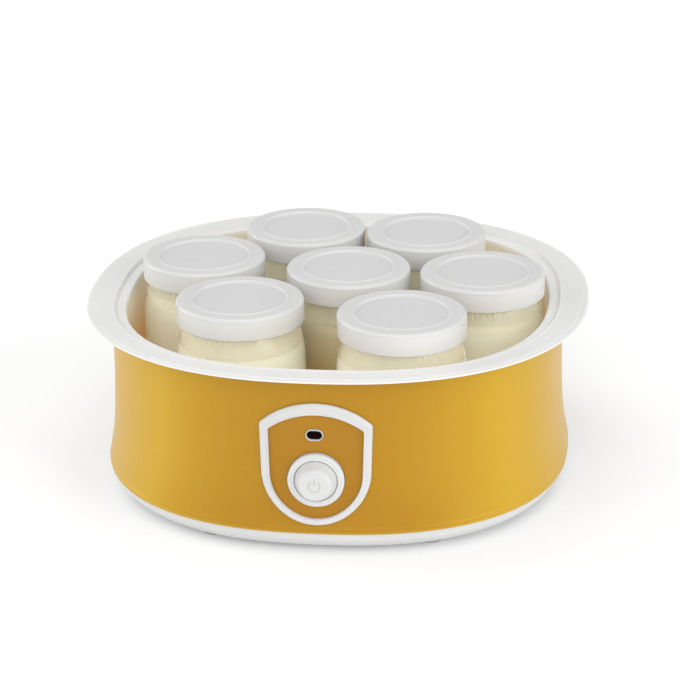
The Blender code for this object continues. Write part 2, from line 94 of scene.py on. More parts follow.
TUB_PROFILE = (
    (40.0, 25.0, 0.0),
    (80.0, 25.0, 0.0),
    (102.7, 25.0, 4.0),
    (102.8, 60.0, 0.0),
    (103.1, 88.7, 0.6),
    (103.6, 90.2, 0.7),
    (104.7, 90.4, 0.3),
    (107.9, 90.5, 0.6),
    (108.9, 91.85, 0.4),
    (109.4, 92.2, 0.2),
    (110.0, 92.2, 0.2),
    (110.5, 91.95, 0.3),
    (119.6, 92.0, 0.3),
    (120.2, 91.68, 0.3),
    (120.9, 91.78, 0.4),
    (122.3, 91.75, 0.5),
    (123.1, 91.4, 0.4),
    (123.0, 91.05, 0.2),
    (122.4, 90.8, 0.3),
    (111.0, 90.2, 0.0),
    (106.2, 88.9, 0.5),
    (105.2, 86.6, 1.0),
    (104.9, 60.0, 0.0),
    (104.2, 27.0, 4.0),
    (99.0, 23.0, 3.0),
    (40.0, 23.0, 0.0),
)
BASE_PROFILE = (
    (60.0, 2.9, 0.0),
    (106.2, 2.9, 0.5),
    (108.4, 3.3, 0.8),
    (111.1, 5.8, 2.2),
    (112.8, 8.0, 0.4),
    (112.65, 8.25, 0.15),
    (113.0, 8.5, 0.3),
    (114.0, 11.6, 0.3),
    (112.3, 11.75, 0.3),
    (112.2, 14.1, 0.3),
    (110.7, 14.1, 0.3),
    (110.2, 10.0, 1.0),
    (106.2, 5.2, 1.5),
    (60.0, 5.2, 0.0),
)
LID_PROFILE = (
    (0.0, 9.95, 0.0),
    (12.0, 10.0, 0.0),
    (21.8, 10.0, 0.25),
    (22.3, 10.9, 0.25),
    (22.8, 11.2, 0.3),
    (23.4, 11.1, 0.3),
    (23.9, 10.75, 0.4),
    (29.6, 10.8, 1.3),
    (30.5, 9.6, 0.9),
    (30.5, 0.0, 0.5),
    (29.0, 0.0, 0.4),
    (29.0, 9.4, 0.5),
    (23.4, 9.5, 0.3),
    (22.6, 8.6, 0.3),
    (0.0, 8.6, 0.0),
)
JAR_INSIDE = (
    (0.0, 4.6, 0.0),
    (14.0, 4.3, 0.0),
    (28.8, 4.3, 4.5),
    (28.9, 44.0, 6.0),
    (28.5, 52.5, 6.0),
    (27.2, 60.5, 6.0),
    (25.2, 68.0, 2.0),
    (25.2, 78.0, 0.5),
)
JAR_OUTSIDE = (
    (27.6, 78.0, 0.5),
    (28.4, 77.0, 0.5),
    (28.4, 73.4, 0.5),
    (27.3, 71.4, 0.7),
    (27.3, 69.8, 1.5),
    (28.4, 65.6, 5.0),
    (29.8, 60.0, 6.0),
    (30.8, 53.5, 6.0),
    (31.1, 46.0, 6.0),
    (31.1, 6.0, 0.0),
    (31.0, 0.0, 5.0),
    (24.0, 0.0, 1.0),
    (22.0, 0.8, 1.0),
    (0.0, 1.6, 0.0),
)
# The yogurt below the jar's shoulder. Its top depends on how full the jar is.
YOGURT_PROFILE = (
    (28.55, 52.5, 4.0),
    (28.95, 44.0, 5.0),
    (28.85, 4.2, 4.4),
    (14.0, 4.2, 0.0),
    (0.0, 4.5, 0.0),
)
COLLAR_PROFILE = (
    (10.05, 5.1, 0.2),
    (10.5, 5.75, 0.25),
    (11.1, 5.5, 0.2),
    (12.5, 5.6, 0.2),
    (13.2, 5.0, 0.4),
    (13.2, 0.0, 0.2),
    (10.05, 0.0, 0.2),
)
BUTTON_PROFILE = (
    (0.0, 11.35, 0.0),
    (7.1, 11.2, 0.4),
    (7.8, 10.5, 0.4),
    (8.75, 8.2, 1.2),
    (9.3, 6.5, 0.5),
    (9.8, 5.7, 0.25),
    (9.9, 5.2, 0.2),
    (9.9, 0.0, 0.3),
    (2.6, 0.0, 0.2),
    (2.6, -7.9, 0.3),
    (0.0, -7.9, 0.0),
)
FOOT_PROFILE = (
    (0.0, 2.55, 0.0),
    (6.3, 2.55, 0.5),
    (6.45, 1.5, 0.5),
    (5.9, 0.05, 0.6),
    (4.0, 0.05, 0.3),
    (3.6, 0.5, 0.3),
    (0.0, 0.5, 0.0),
)
RELIEF_PROFILE = (
    (3.9, 14.9, 0.4),
    (4.3, 0.4, 0.8),
    (6.1, -0.4, 0.4),
    (6.1, -1.7, 0.3),
    (4.5, -1.9, 0.2),
    (4.5, -8.4, 0.3),
    (3.4, -8.4, 0.2),
    (3.4, 14.9, 0.3),
)

# Shield outlines: half width at the corners, at the round's centre, height of the top, radius of the
# arch, height of the round's centre, depth of the round.
BEZEL_OUTER = (26.2, 25.55, 76.4, 37.4, 42.7, 25.80)
BEZEL_INNER = (22.2, 21.60, 70.8, 35.4, 41.6, 21.95)
OPENING = (24.0, 23.40, 73.6, 36.6, 42.2, 23.40)
PANEL = (23.7, 23.10, 73.3, 36.3, 42.2, 23.10)
SHIELD_MIDDLE = (0.0, 45.0)
ARCH_STEPS, SIDE_STEPS, ROUND_STEPS = 80, 20, 100
# Across the bezel from its outer edge (0) to its inner edge (1), and how far it stands proud.
BEZEL_SECTION = (
    (0.00, 0.35),
    (0.00, 1.20),
    (0.05, 1.50),
    (0.28, 2.02),
    (0.34, 2.08),
    (0.42, 2.05),
    (0.80, 1.80),
    (0.84, 1.92),
    (0.93, 1.92),
    (1.00, 1.55),
    (1.00, 0.10),
)

# How high each jar is filled, in millimetres from its foot.
FILL_LEVELS = (57.9, 57.9, 62.6, 57.9, 60.6, 57.9, 57.9)
# Where each jar's moulded bars sit round its shoulder, in degrees from the front.
MARK_ANGLES = (10.0, -35.0, -25.0, 40.0, 4.0, -12.0, 31.0)
# The bars: how many, the degrees between two, and in millimetres their top and the foot of a long and of
# a short one.
MARK_BARS = 5
MARK_STEP = 5.5
MARK_TOP = 68.3
MARK_FEET = (65.2, 65.9)
MARK_RADIUS = 0.00034
# The shoulder under the bars, in millimetres: its radius at a height, and how much it widens for each down.
SHOULDER_RADIUS = 27.4
SHOULDER_HEIGHT = 69.6
SHOULDER_SLOPE = 0.345
# Yogurt filled above this bend in the glass's inside follows it. In millimetres.
GLASS_BEND = 60.5
YOGURT_AT_BEND = (27.2, 60.4, 3.0)

# The niche in the tub's front wall: its outer block and its inner pocket, as low and high corners.
NICHE_BLOCK = ((-0.0125, -0.1022, 0.0240), (0.0125, -0.0880, 0.0700))
NICHE_POCKET = ((-0.0105, -0.1060, 0.0260), (0.0105, -0.0900, 0.0680))
NICHE_BEVEL = 0.0018

# How far in front of the body's middle the indicator's face, the button's foot and the spring's back are.
INDICATOR_FACE = 0.1080
BUTTON_SEAT = 0.1051
SPRING_BACK = 0.1001
# The indicator's surround, window and hole, in millimetres: half length, end radius, distance out.
SURROUND_SECTIONS = (
    (4.20, 2.80, -1.9),
    (4.20, 2.80, 0.35),
    (4.05, 2.65, 0.55),
    (3.75, 2.35, 0.55),
    (3.60, 2.20, 0.35),
    (3.60, 2.20, -1.9),
)
WINDOW_SECTIONS = ((3.45, 2.05, -1.7), (3.45, 2.05, -0.3), (3.20, 1.80, -0.05), (2.4, 1.0, 0.05))
LAMP_HOLE = ((4.4, 3.0, -8), (4.4, 3.0, 8))
# The panel's hole for the collar. Its radius is in millimetres.
COLLAR_HOLE_RADIUS = 13.45
COLLAR_HOLE_MIDDLE = 0.105
# The power symbol, moulded on the button's face: a ring with a gap in degrees, and an upright stroke from
# its foot through a row of places, in millimetres.
SYMBOL_PROUD = 0.01128
SYMBOL_RADIUS = 2.7 * MM
SYMBOL_DROP = 0.2 * MM
SYMBOL_GAP = 64
SYMBOL_STEPS = 32
SYMBOL_LINE = 0.00026
STROKE_FOOT = 0.4
STROKE_STEP = 0.35
STROKE_PLACES = 10
# The button's spring.
SPRING_RADIUS = 0.0042
SPRING_LENGTH = 0.0043
SPRING_WIRE = 0.0004
SPRING_TURNS = 3
SPRING_STEPS = 40

# The cord leaves the body at CORD_HEIGHT. Its places are measured from the body's middle. The hole's radius
# is in millimetres.
CORD_RADIUS = 0.0030
CORD_HEIGHT = 0.0195
CORD_HOLE_RADIUS = 4.9
CORD_HOLE_MIDDLE = 0.110
RELIEF_SEAT = 0.1143
CORD_FROM_BODY = (
    (0, 0.0806, 0.0120),
    (0, 0.0860, 0.0130),
    (0, 0.0930, 0.0175),
    (0, 0.1000, 0.0195),
    (0, 0.1145, 0.0195),
    (0, 0.1290, 0.0195),
    (0, 0.1335, 0.0178),
    (0, 0.1370, 0.0130),
    (0, 0.1395, 0.0075),
    (0.0020, 0.1430, 0.0042),
    (0.0070, 0.1475, 0.0032),
    (0.0140, 0.1490, 0.0032),
)
# It then lies on the table in straight rows joined by round turns, and climbs into the plug.
CORD_ON_TABLE = 0.0032
CORD_ROWS = (0.149, 0.161, 0.178)
CORD_STRAIGHT = 0.045
CORD_REACH = 0.070
TURN_STEPS = 6
# Across and height of the last places, all on the last row.
CORD_TO_PLUG = ((-0.045, 0.0032), (-0.020, 0.0033), (-0.008, 0.0052), (0.003, 0.0080), (0.0120, 0.0080))
PLUG_HEIGHT = 0.0080
PLUG_STEPS = 64
# Across the plug, in millimetres: distance along it, half width, half height.
PLUG_SECTIONS = (
    (10.0, 3.6, 3.6),
    (10.3, 4.2, 4.2),
    (14.0, 4.5, 4.4),
    (18.0, 5.2, 5.0),
    (22.0, 6.8, 5.5),
    (26.0, 9.2, 6.1),
    (30.0, 11.0, 6.6),
    (38.0, 12.2, 7.0),
    (46.0, 12.7, 7.2),
    (49.0, 12.7, 7.1),
    (49.8, 12.3, 6.7),
    (50.0, 11.6, 6.0),
)
PLUG_EXPONENT = 3

# -------- the studio's sizes
FLOOR_HALF = 6.0
WORLD_STRENGTH = 0.54
# Sun lamps: azimuth from the front, elevation and spread in degrees, strength.
SUNS = (
    ("front_key", -4.0, 34.0, 46.0, 0.70),
    ("overhead", 0.0, 88.0, 60.0, 0.70),
    ("right_side", 68.0, 14.0, 44.0, 0.98),
    ("left_side", -105.0, 14.0, 36.0, 0.86),
)
SOFTBOXES = (("softbox_right", (0.75, -0.95, 0.55)), ("softbox_left", (-0.85, -0.85, 0.55)))
SOFTBOX_WIDTH = 0.12
SOFTBOX_HEIGHT = 0.7
SOFTBOX_WATTS = 1.3
SUN_DISTANCE = 1.5
CAMERA_FROM_BODY = Vector((0.11244, -1.05642, 0.48548))
CAMERA_FORWARD = Vector((-0.098133, 0.922793, -0.372590))
CAMERA_UP = Vector((-0.029294, 0.371557, 0.927948))
CAMERA_LENS = 117.465
# Half a pixel of a picture 700 pixels high.
CAMERA_SHIFT = 0.5 / 700

# -------- places, from the frame


def centre_of(node):
    low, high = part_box(node)
    return (Vector(low) + Vector(high)) / 2


BODY_Y = centre_of("outer_casing").y
BUTTON = centre_of("power_button")
SOFTBOX_TARGET = Vector((0, BODY_Y, 0.05))
# The indicator sits a little to the left of the middle.
INDICATOR_PLACE = (-0.0006, BODY_Y - INDICATOR_FACE, centre_of("indicator_bezel").z)


# -------- materials
def new_material(name):
    material = bpy.data.materials.new(name)
    material.use_nodes = True
    return material, material.node_tree, material.node_tree.nodes["Principled BSDF"]


def add_node(tree, kind, links=(), **values):
    """Adds a node, sets its properties, and feeds each input a socket or a value."""
    node = tree.nodes.new(kind)
    for key, value in values.items():
        setattr(node, key, value)
    for key, value in links:
        if isinstance(value, bpy.types.NodeSocket):
            tree.links.new(value, node.inputs[key])
        else:
            node.inputs[key].default_value = value
    return node


def object_coordinates(tree):
    return add_node(tree, "ShaderNodeTexCoord").outputs["Object"]


def noise(tree, where, scale, detail=3.0, roughness=0.55):
    links = (("Vector", where), ("Scale", scale), ("Detail", detail), ("Roughness", roughness))
    return add_node(tree, "ShaderNodeTexNoise", links).outputs["Fac"]


def remap(tree, value, low, high, to_low, to_high):
    links = (("Value", value), ("From Min", low), ("From Max", high), ("To Min", to_low), ("To Max", to_high))
    return add_node(tree, "ShaderNodeMapRange", links).outputs["Result"]


def maths(tree, operation, first, second, clamp=False):
    links = ((0, first), (1, second))
    return add_node(tree, "ShaderNodeMath", links, operation=operation, use_clamp=clamp).outputs[0]


def part_of(tree, vector, axis):
    """One of a vector's X, Y and Z."""
    return add_node(tree, "ShaderNodeSeparateXYZ", (("Vector", vector),)).outputs[axis]


def radius_of(tree, vector):
    """A place's distance from the upright axis."""
    flat = add_node(tree, "ShaderNodeVectorMath", ((0, vector), (1, (1.0, 1.0, 0.0))), operation="MULTIPLY")
    length = add_node(tree, "ShaderNodeVectorMath", ((0, flat.outputs[0]),), operation="LENGTH")
    return length.outputs["Value"]


def stretch(tree, vector, scales):
    """Coordinates scaled by a different number along each axis."""
    return add_node(tree, "ShaderNodeMapping", (("Vector", vector), ("Scale", scales))).outputs["Vector"]


def facing_away(tree):
    """0 where the surface faces the viewer, rising to 1 at its edge."""
    return add_node(tree, "ShaderNodeLayerWeight", (("Blend", 0.5),)).outputs["Facing"]


def light_path(tree, kind):
    return add_node(tree, "ShaderNodeLightPath").outputs[kind]


def mix_colour(tree, amount, first, second):
    node = tree.nodes.new("ShaderNodeMix")
    node.data_type = "RGBA"
    for socket, value in ((node.inputs[0], amount), (node.inputs[6], first), (node.inputs[7], second)):
        if isinstance(value, bpy.types.NodeSocket):
            tree.links.new(value, socket)
        else:
            socket.default_value = value if not isinstance(value, tuple) else (*value[:3], 1.0)
    return node.outputs[2]


def bump(tree, height, strength, distance):
    links = (("Height", height), ("Strength", strength), ("Distance", distance))
    return add_node(tree, "ShaderNodeBump", links).outputs["Normal"]


def scatter(shader, weight, radius, scale):
    """Light passed on inside the surface: how much, how far each colour goes, and the size of that."""
    shader.inputs["Subsurface Weight"].default_value = weight
    shader.inputs["Subsurface Radius"].default_value = radius
    shader.inputs["Subsurface Scale"].default_value = scale


def moulded(name, colour, roughness=0.35, grain=900.0, grain_depth=0.00002, tint=0.03, sss=0.0):
    """Moulded plastic: faint tone drift, fine surface grain and uneven gloss."""
    material, tree, shader = new_material(name)
    where = object_coordinates(tree)
    drift = noise(tree, where, 18.0)
    darker = tuple(channel * (1 - tint) for channel in colour)
    shade = mix_colour(tree, remap(tree, drift, 0.35, 0.65, 0.0, 1.0), darker, colour)
    fine = noise(tree, where, grain, 2.0)
    gloss = remap(tree, noise(tree, where, 60.0), 0.3, 0.7, roughness * 0.88, roughness * 1.12)
    tree.links.new(shade, shader.inputs["Base Color"])
    tree.links.new(gloss, shader.inputs["Roughness"])
    tree.links.new(bump(tree, fine, 0.35, grain_depth), shader.inputs["Normal"])
    if sss:
        scatter(shader, sss, (1.0, 0.85, 0.65), 0.003)
    return material


def lacquer(name, colour, edge, shine):
    """Golden lacquer under a thin clear coat, finely grained, with a painted sheen: it is painted yellower
    and brighter where it turns away from the viewer, and more so on faces turned to the right, where more
    light falls."""
    material, tree, shader = new_material(name)
    where = object_coordinates(tree)
    pearl = noise(tree, where, 1400.0, 2.0)
    drift = noise(tree, where, 9.0, 2.0)
    tone = maths(tree, "ADD", pearl, drift)
    # Painted sheen: a mask from the viewing angle and from faces turned right mixes in the brighter edge
    # colour.
    turned = remap(tree, facing_away(tree), 0.05, 0.38, 0.0, 1.0)
    rightward = part_of(tree, add_node(tree, "ShaderNodeNewGeometry").outputs["Normal"], "X")
    painted_sheen = maths(tree, "ADD", turned, remap(tree, rightward, 0.08, 0.46, 0.0, 0.22), clamp=True)
    shade = mix_colour(tree, painted_sheen, colour, edge)
    deep = mix_colour(tree, 0.07, shade, (0.0, 0.0, 0.0))
    shade = mix_colour(tree, remap(tree, tone, 0.75, 1.25, 0.0, 1.0), deep, shade)
    shade = mix_colour(tree, light_path(tree, "Is Diffuse Ray"), shade, (0.44, 0.40, 0.34))
    tree.links.new(shade, shader.inputs["Base Color"])
    gloss = remap(tree, noise(tree, where, 40.0), 0.3, 0.7, 0.34, 0.40)
    tree.links.new(gloss, shader.inputs["Roughness"])
    shader.inputs["Specular IOR Level"].default_value = 1.0
    shader.inputs["Specular Tint"].default_value = (*shine, 1.0)
    shader.inputs["Coat Weight"].default_value = 0.08
    shader.inputs["Coat Roughness"].default_value = 0.25
    peel = noise(tree, where, 160.0, 1.0)
    tree.links.new(bump(tree, peel, 0.10, 0.00004), shader.inputs["Normal"])
    return material


def speckle(tree, where, scale, share, size):
    """1 on a few small dots scattered through space, else 0."""
    cells = add_node(tree, "ShaderNodeTexVoronoi", (("Vector", where), ("Scale", scale)))
    chosen = add_node(tree, "ShaderNodeSeparateColor", (("Color", cells.outputs["Color"]),)).outputs["Red"]
    rare = maths(tree, "GREATER_THAN", chosen, 1 - share)
    near = maths(tree, "LESS_THAN", cells.outputs["Distance"], size)
    return maths(tree, "MULTIPLY", rare, near)


def lid_plastic(name):
    """Matt white lid: a greyer grained disc inside a brighter rim, with a few dark flecks, and a skirt
    painted brighter as a painted highlight for the light on its sides.
    """
    material, tree, shader = new_material(name)
    where = object_coordinates(tree)
    disc = remap(tree, radius_of(tree, where), 0.0222, 0.0216, 0.0, 1.0)
    drift = remap(tree, noise(tree, where, 22.0), 0.35, 0.65, 0.0, 1.0)
    rim = mix_colour(tree, drift, (0.640, 0.640, 0.637), (0.657, 0.657, 0.654))
    grey = mix_colour(tree, drift, (0.618, 0.618, 0.618), (0.634, 0.634, 0.634))
    # Painted highlight: the skirt is painted brighter than the rim for the light on its sides.
    skirt = remap(tree, part_of(tree, where, "Z"), 0.0098, 0.0086, 0.0, 1.0)
    rim = mix_colour(tree, skirt, rim, (0.735, 0.735, 0.728))
    shade = mix_colour(tree, disc, rim, grey)
    spots = remap(tree, speckle(tree, where, 190.0, 0.04, 0.07), 0.0, 1.0, 0.0, 0.45)
    tree.links.new(mix_colour(tree, spots, shade, (0.36, 0.35, 0.34)), shader.inputs["Base Color"])
    tree.links.new(remap(tree, disc, 0.0, 1.0, 0.36, 0.58), shader.inputs["Roughness"])
    grain = bump(tree, noise(tree, where, 1500.0, 2.0), 0.4, 0.00003)
    tree.links.new(grain, shader.inputs["Normal"])
    scatter(shader, 0.15, (1.0, 0.9, 0.75), 0.002)
    return material


def tub_plastic(name):
    """White moulded plastic. Its wall is painted darker and warmer downwards, painted shade warm with the
    casing's colour, and wall and floor carry a faint painted glow; its floor is pale, and a band at the ledge
    is painted brighter.
    """
    material, tree, shader = new_material(name)
    where = object_coordinates(tree)
    height = part_of(tree, where, "Z")
    # Painted shade: the wall darkens to orange-brown downwards, and the glow colour follows the same depth.
    depth = remap(tree, height, 0.0850, 0.056, 0.0, 1.0)
    wall = mix_colour(tree, depth, (0.80, 0.74, 0.60), (0.56, 0.27, 0.060))
    floor = remap(tree, height, 0.050, 0.027, 0.0, 1.0)
    wall = mix_colour(tree, floor, wall, (0.80, 0.76, 0.64))
    # Painted glow on the wall and the floor, put into Emission Color below.
    glow = mix_colour(tree, depth, (0.13, 0.120, 0.095), (0.15, 0.070, 0.012))
    glow = mix_colour(tree, floor, glow, (0.10, 0.095, 0.075))
    inside = remap(tree, height, 0.0902, 0.0885, 0.0, 1.0)
    drift = remap(tree, noise(tree, where, 18.0), 0.35, 0.65, 0.0, 1.0)
    rim = mix_colour(tree, drift, (0.745, 0.745, 0.738), (0.765, 0.765, 0.758))
    spots = remap(tree, speckle(tree, where, 210.0, 0.03, 0.07), 0.0, 1.0, 0.0, 0.4)
    rim = mix_colour(tree, spots, rim, (0.44, 0.42, 0.38))
    # Painted highlight: a band at the ledge, shaded by the lids, is painted brighter.
    ledge = remap(tree, height, 0.0919, 0.0908, 0.0, 1.0)
    rim = mix_colour(tree, ledge, rim, (0.82, 0.82, 0.81))
    shade = mix_colour(tree, inside, rim, wall)
    shade = mix_colour(tree, light_path(tree, "Is Diffuse Ray"), shade, (0.70, 0.66, 0.55))
    tree.links.new(shade, shader.inputs["Base Color"])
    tree.links.new(mix_colour(tree, inside, (0.0, 0.0, 0.0), glow), shader.inputs["Emission Color"])
    shader.inputs["Emission Strength"].default_value = 1.0
    gloss = remap(tree, noise(tree, where, 60.0), 0.3, 0.7, 0.30, 0.38)
    tree.links.new(gloss, shader.inputs["Roughness"])
    tree.links.new(bump(tree, noise(tree, where, 900.0, 2.0), 0.3, 0.00002), shader.inputs["Normal"])
    scatter(shader, 0.15, (1.0, 0.8, 0.5), 0.003)
    return material


def jar_glass(name):
    """Glass with faint mould ripple and a thin streaky milk film, thicker above the yogurt and wiped off at
    the glass's edge.
    The film has a faint painted glow. Shadow and diffuse rays pass through it."""
    material, tree, shader = new_material(name)
    where = object_coordinates(tree)
    ripple = noise(tree, where, 45.0, 2.0)
    shader.inputs["Base Color"].default_value = (0.965, 0.97, 0.93, 1.0)
    shader.inputs["Transmission Weight"].default_value = 1.0
    shader.inputs["IOR"].default_value = 1.46
    tree.links.new(remap(tree, ripple, 0.3, 0.7, 0.0, 0.03), shader.inputs["Roughness"])
    tree.links.new(bump(tree, ripple, 0.10, 0.0004), shader.inputs["Normal"])
    # The film's emission is a painted glow.
    film_with_painted_glow = add_node(tree, "ShaderNodeBsdfPrincipled", (
        ("Base Color", (0.82, 0.76, 0.58, 1.0)),
        ("Roughness", 0.35),
        ("Emission Color", (1.0, 0.93, 0.68, 1.0)),
        ("Emission Strength", 0.17),
    ))
    streaks = noise(tree, stretch(tree, where, (1.0, 1.0, 0.2)), 60.0, 2.0)
    milky = remap(tree, streaks, 0.35, 0.65, 0.14, 0.24)
    splashed = remap(tree, part_of(tree, where, "Z"), 0.056, 0.060, 0.0, 0.18)
    clean_edge = remap(tree, facing_away(tree), 0.62, 0.88, 1.0, 0.15)
    milky = maths(tree, "MULTIPLY", maths(tree, "ADD", milky, splashed), clean_edge)
    veiled = add_node(tree, "ShaderNodeMixShader", ((0, milky), (1, shader.outputs[0]), (2, film_with_painted_glow.outputs[0])))
    clear = add_node(tree, "ShaderNodeBsdfTransparent", (("Color", (0.93, 0.92, 0.86, 1.0)),))
    ray = add_node(tree, "ShaderNodeLightPath").outputs
    soft = maths(tree, "MAXIMUM", ray["Is Shadow Ray"], ray["Is Diffuse Ray"])
    mixer = add_node(tree, "ShaderNodeMixShader", ((0, soft), (1, veiled.outputs[0]), (2, clear.outputs[0])))
    tree.links.new(mixer.outputs[0], tree.nodes["Material Output"].inputs["Surface"])
    return material


def set_yogurt(name):
    """Set yogurt with a painted glow standing in for the light that falls in from above: most in the open
    front row, little in the middle of the tub. There it is also painted with shade that darkens and warms
    downwards."""
    material, tree, shader = new_material(name)
    where = object_coordinates(tree)
    drift = remap(tree, noise(tree, where, 30.0), 0.35, 0.65, 0.0, 1.0)
    place = add_node(tree, "ShaderNodeNewGeometry").outputs["Position"]
    to_middle = (0.0, -BODY_Y, 0.0)
    from_middle = add_node(tree, "ShaderNodeVectorMath", ((0, place), (1, to_middle)), operation="ADD")
    # Painted shade: in the middle of the tub the yogurt is darker and warmer downwards; this mask is 0 there
    # and 1 in the open outer jars.
    painted_light_reach = remap(tree, radius_of(tree, from_middle.outputs[0]), 0.034, 0.060, 0.0, 1.0)
    shade = mix_colour(tree, drift, (0.82, 0.81, 0.72), (0.86, 0.855, 0.775))
    depth = remap(tree, part_of(tree, where, "Z"), 0.056, 0.034, 0.0, 1.0)
    inner = mix_colour(tree, depth, (0.78, 0.70, 0.50), (0.60, 0.42, 0.14))
    shade = mix_colour(tree, painted_light_reach, inner, shade)
    tree.links.new(shade, shader.inputs["Base Color"])
    tree.links.new(remap(tree, noise(tree, where, 80.0), 0.3, 0.7, 0.35, 0.5), shader.inputs["Roughness"])
    tree.links.new(bump(tree, noise(tree, where, 120.0, 3.0), 0.25, 0.0002), shader.inputs["Normal"])
    scatter(shader, 0.3, (1.0, 0.9, 0.7), 0.004)
    # Painted glow, strongest in the open front row.
    glow = remap(tree, part_of(tree, place, "Y"), BODY_Y - 0.072, BODY_Y - 0.010, 0.21, 0.04)
    shader.inputs["Emission Color"].default_value = (1.0, 0.97, 0.82, 1.0)
    tree.links.new(maths(tree, "MULTIPLY", glow, painted_light_reach), shader.inputs["Emission Strength"])
    return material


def bare_metal(name, colour, roughness=0.3, streaks=(1.0, 1.0, 30.0)):
    """Metal with fine drawn streaks."""
    material, tree, shader = new_material(name)
    where = object_coordinates(tree)
    lines = noise(tree, stretch(tree, where, streaks), 500.0, 2.0)
    darker = tuple(channel * 0.85 for channel in colour)
    shade = mix_colour(tree, remap(tree, lines, 0.3, 0.7, 0.0, 1.0), darker, colour)
    tree.links.new(shade, shader.inputs["Base Color"])
    tree.links.new(remap(tree, lines, 0.3, 0.7, roughness * 0.8, roughness * 1.3), shader.inputs["Roughness"])
    tree.links.new(bump(tree, lines, 0.2, 0.00001), shader.inputs["Normal"])
    shader.inputs["Metallic"].default_value = 1.0
    return material


def red_lens(name):
    """A dark red window over fine ribs."""
    material, tree, shader = new_material(name)
    where = object_coordinates(tree)
    ribs = add_node(tree, "ShaderNodeTexWave", (("Vector", where), ("Scale", 900.0), ("Distortion", 0.0)))
    shade = mix_colour(tree, ribs.outputs["Fac"], (0.001, 0.0005, 0.0005), (0.010, 0.001, 0.001))
    tree.links.new(shade, shader.inputs["Base Color"])
    shader.inputs["Roughness"].default_value = 0.22
    shader.inputs["Specular IOR Level"].default_value = 0.03
    return material


# The second colour given to each lacquer is the brighter colour of its painted sheen.
YELLOW = lacquer("golden_lacquer", (0.412, 0.171, 0.006), (0.580, 0.318, 0.012), (0.95, 0.95, 0.25))
PANEL_YELLOW = lacquer("panel_lacquer", (0.380, 0.150, 0.006), (0.500, 0.235, 0.010), (0.95, 0.85, 0.25))
WHITE = moulded("white_moulded", (0.655, 0.655, 0.65), 0.34, sss=0.1)
# Painted light: the collar is the same white plastic as WHITE, painted brighter to stand in for the light on
# it.
COLLAR_WHITE_BRIGHTENED = moulded("collar_white_brightened", (0.695, 0.695, 0.69), 0.34, sss=0.1)
# Painted light: the base is the same white plastic as WHITE, painted brighter to stand in for the light on
# it.
BASE_WHITE_BRIGHTENED = moulded("base_white_brightened", (0.69, 0.69, 0.69), 0.4, sss=0.1)
LID_WHITE = lid_plastic("lid_white")
TUB_WHITE = tub_plastic("tub_white")
MARK_GREY = moulded("mark_grey", (0.55, 0.55, 0.55), 0.4)
GLASS = jar_glass("jar_glass")
YOGURT = set_yogurt("set_yogurt")
RUBBER = moulded("foot_rubber", (0.42, 0.42, 0.40), 0.75, grain=500.0, grain_depth=0.00006)
CORD = moulded("cord_white", (0.70, 0.70, 0.69), 0.5, grain=700.0, grain_depth=0.00003)
RIM_GREY = moulded("indicator_rim", (0.55, 0.56, 0.58), 0.25)
LENS = red_lens("indicator_lens")
STEEL = bare_metal("zinc_steel", (0.62, 0.62, 0.60), 0.32)
NICKEL = bare_metal("nickel_pin", (0.75, 0.73, 0.68), 0.22)
SPRING_STEEL = bare_metal("spring_steel", (0.66, 0.66, 0.64), 0.28)


# -------- shapes
def rounded(path, steps=5, guard=0.25):
    """Rounds each corner of a path of (across, up, radius) and returns (across, up) points. A point at guard
    from each round keeps the flats beside it flat when they are shaded smooth."""
    points = [Vector(path[0][:2])]
    for before, corner, after in zip(path, path[1:], path[2:]):
        here = Vector(corner[:2])
        back, ahead = Vector(before[:2]) - here, Vector(after[:2]) - here
        turn = back.angle(ahead)
        if not corner[2] or turn > math.radians(179.5):
            points.append(here)
            continue
        reach = min(corner[2] / math.tan(turn / 2), 0.45 * back.length, 0.45 * ahead.length)
        start, end = here + back.normalized() * reach, here + ahead.normalized() * reach
        if reach + guard < 0.45 * back.length:
            points.append(start + back.normalized() * guard)
        for step in range(steps + 1):
            share = step / steps
            points.append(start.lerp(here, share).lerp(here.lerp(end, share), share))
        if reach + guard < 0.45 * ahead.length:
            points.append(end + ahead.normalized() * guard)
    points.append(Vector(path[-1][:2]))
    return points


def finish_mesh(name, bm, material, location=(0, 0, 0)):
    bmesh.ops.recalc_face_normals(bm, faces=bm.faces)
    mesh = bpy.data.meshes.new(name)
    bm.to_mesh(mesh)
    bm.free()
    mesh.shade_smooth()
    mesh.set_sharp_from_angle(angle=math.radians(50))
    mesh.materials.append(material)
    obj = bpy.data.objects.new(name, mesh)
    obj.location = location
    bpy.context.scene.collection.objects.link(obj)
    return obj


def bridge(bm, first, second):
    """Faces between two closed loops of as many points."""
    count = len(first)
    for step in range(count):
        after = (step + 1) % count
        bm.faces.new((first[step], first[after], second[after], second[step]))


def stack(bm, loops, hollow):
    """Joins closed loops in a row. A hollow stack closes on itself; the others are capped at both ends."""
    for first, second in zip(loops, loops[1:]):
        bridge(bm, first, second)
    if hollow:
        bridge(bm, loops[-1], loops[0])
    else:
        bm.faces.new(loops[0])
        bm.faces.new(loops[-1])


def oval_points(steps, half_x, half_y, power):
    """Points round an oval that gets squarer as power grows above 2."""
    points = []
    for step in range(steps):
        angle = 2 * math.pi * step / steps
        across, along = math.cos(angle), math.sin(angle)
        reach = (abs(across / half_x) ** power + abs(along / half_y) ** power) ** (-1 / power)
        points.append((reach * across, reach * along))
    return points


def oval_ring(bm, half_x, half_y, exponent, height):
    return [bm.verts.new((x, y, height)) for x, y in oval_points(BODY_RESOLUTION, half_x, half_y, exponent)]


def body_section(half):
    """Half width, half depth and exponent of the casing's and the base's oval at a half width."""
    return half * MM, half * BODY_DEPTH_RATIO * MM, BODY_EXPONENT


